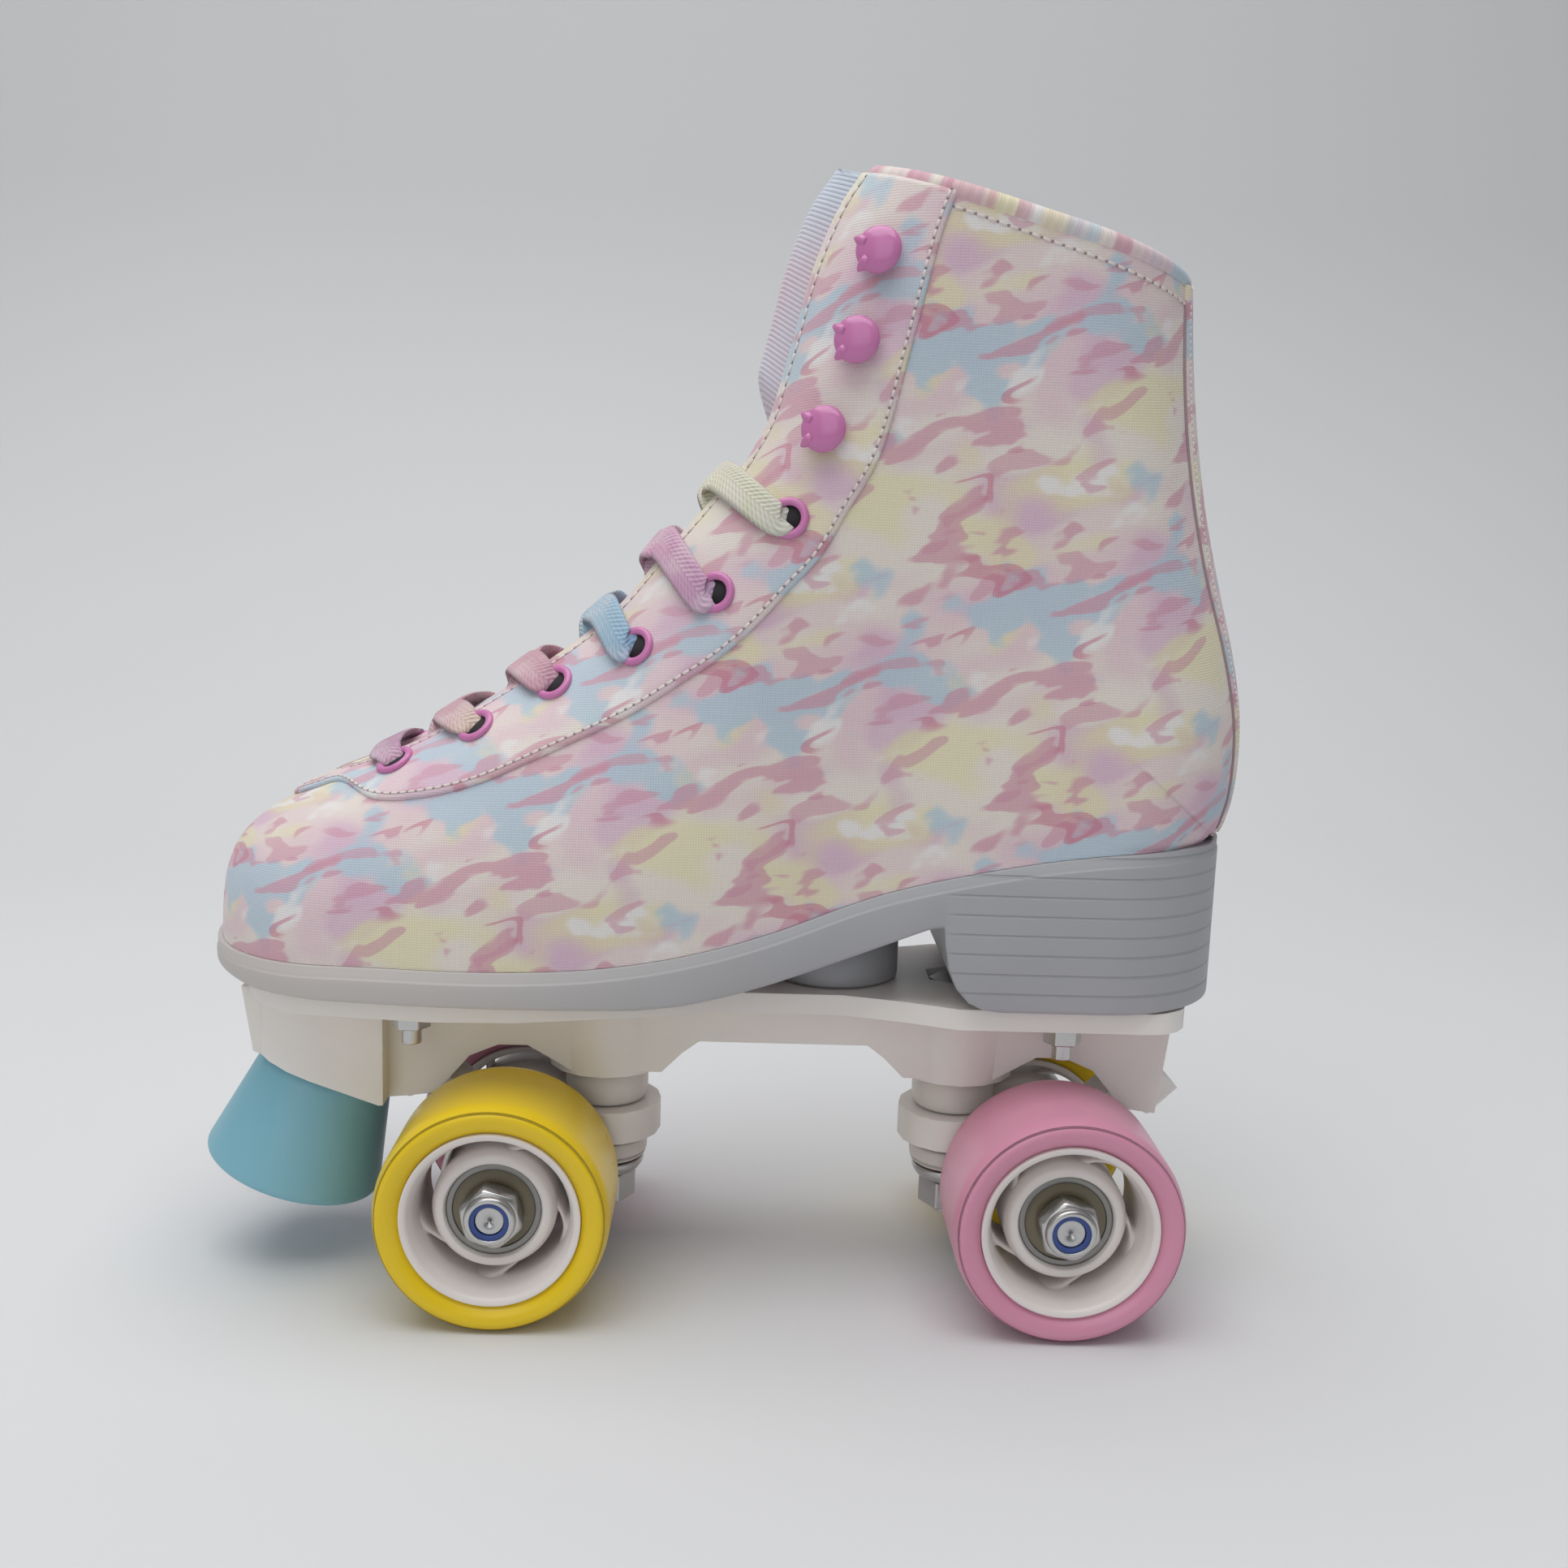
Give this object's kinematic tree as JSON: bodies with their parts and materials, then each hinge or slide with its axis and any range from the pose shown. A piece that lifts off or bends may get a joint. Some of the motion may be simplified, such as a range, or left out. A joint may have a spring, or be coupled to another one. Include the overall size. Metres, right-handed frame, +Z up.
{
  "type": "quad roller skates",
  "caption": "Lace-up high boot on a heeled sole, fixed to a nylon plate with cushioned steering trucks, free-rolling wheels on bearings and a bolted conical toe stop.",
  "frame": {"origin": "on the floor, under the middle of the whole assembly's length and width", "axes": "+X towards the toe, +Y towards the skate's outer (left) side, +Z up"},
  "size_m": [0.2496, 0.092, 0.2634],
  "materials": {
    "boot_cloth": "woven, pastel mottled print",
    "stay_cloth": "woven, pastel mottled print",
    "tongue_cloth": "woven, pale",
    "insole_foam": "brushed lining",
    "sole_rubber": "satin, moulded lines",
    "lace_cotton": "flat weave, tie-dyed",
    "lilac_metal": "gloss",
    "nylon": "satin",
    "cushion_urethane": "satin",
    "cup_plastic": "satin",
    "stop_rubber": "satin",
    "yellow_urethane": "gloss",
    "pink_urethane": "gloss",
    "hub_plastic": "gloss",
    "steel": "bright zinc"
  },
  "bodies": {
    "boot_and_plate": {"boot_upper": "boot_cloth", "eyelet_stay_left": "stay_cloth", "eyelet_stay_right": "stay_cloth", "tongue": "tongue_cloth", "insole": "insole_foam", "outsole": "sole_rubber", "lace": "lace_cotton", "speed_hook_left_1": "lilac_metal", "speed_hook_left_2": "lilac_metal", "speed_hook_left_3": "lilac_metal", "speed_hook_right_1": "lilac_metal", "speed_hook_right_2": "lilac_metal", "speed_hook_right_3": "lilac_metal", "plate": "nylon", "mount_bolt_front_left": "steel", "mount_nut_front_left": "steel", "mount_bolt_front_right": "steel", "mount_nut_front_right": "steel", "mount_bolt_rear_left": "steel", "mount_nut_rear_left": "steel", "mount_bolt_rear_right": "steel", "mount_nut_rear_right": "steel", "toe_stop": "stop_rubber", "toe_stop_bolt": "steel", "front_king_pin": "steel", "front_upper_cushion": "cushion_urethane", "front_lower_cushion": "cushion_urethane", "front_cup_washer": "steel", "front_king_pin_nut": "steel", "front_pivot_cup": "cup_plastic", "rear_king_pin": "steel", "rear_upper_cushion": "cushion_urethane", "rear_lower_cushion": "cushion_urethane", "rear_cup_washer": "steel", "rear_king_pin_nut": "steel", "rear_pivot_cup": "cup_plastic"},
    "front_truck": {"front_hanger": "nylon", "front_axle": "steel", "front_left_axle_nut": "steel", "front_right_axle_nut": "steel"},
    "rear_truck": {"rear_hanger": "nylon", "rear_axle": "steel", "rear_left_axle_nut": "steel", "rear_right_axle_nut": "steel"},
    "front_left_wheel": {"front_left_tyre": "yellow_urethane", "front_left_hub": "hub_plastic", "front_left_outer_bearing": "steel", "front_left_inner_bearing": "steel"},
    "front_right_wheel": {"front_right_tyre": "pink_urethane", "front_right_hub": "hub_plastic", "front_right_outer_bearing": "steel", "front_right_inner_bearing": "steel"},
    "rear_left_wheel": {"rear_left_tyre": "pink_urethane", "rear_left_hub": "hub_plastic", "rear_left_outer_bearing": "steel", "rear_left_inner_bearing": "steel"},
    "rear_right_wheel": {"rear_right_tyre": "yellow_urethane", "rear_right_hub": "hub_plastic", "rear_right_outer_bearing": "steel", "rear_right_inner_bearing": "steel"}
  },
  "joints": [
    {"name": "front_steer", "type": "hinge", "parent": "boot_and_plate", "child": "front_truck", "pos_m": [0.06796, 0, 0.05], "axis": [0.9556, 0, 0.2946], "range_deg": [-8, 8], "stiffness_Nm_per_rad": 14, "deforming": ["front_upper_cushion", "front_lower_cushion"]},
    {"name": "rear_steer", "type": "hinge", "parent": "boot_and_plate", "child": "rear_truck", "pos_m": [-0.10404, 0, 0.05], "axis": [-0.9556, 0, 0.2946], "range_deg": [-8, 8], "stiffness_Nm_per_rad": 14, "deforming": ["rear_upper_cushion", "rear_lower_cushion"]},
    {"name": "front_left_spin", "type": "hinge", "parent": "front_truck", "child": "front_left_wheel", "pos_m": [0.04796, 0.03, 0.027], "axis": [0, 1, 0], "continuous": true},
    {"name": "front_right_spin", "type": "hinge", "parent": "front_truck", "child": "front_right_wheel", "pos_m": [0.04796, -0.03, 0.027], "axis": [0, 1, 0], "continuous": true},
    {"name": "rear_left_spin", "type": "hinge", "parent": "rear_truck", "child": "rear_left_wheel", "pos_m": [-0.08404, 0.03, 0.027], "axis": [0, 1, 0], "continuous": true},
    {"name": "rear_right_spin", "type": "hinge", "parent": "rear_truck", "child": "rear_right_wheel", "pos_m": [-0.08404, -0.03, 0.027], "axis": [0, 1, 0], "continuous": true}
  ]
}
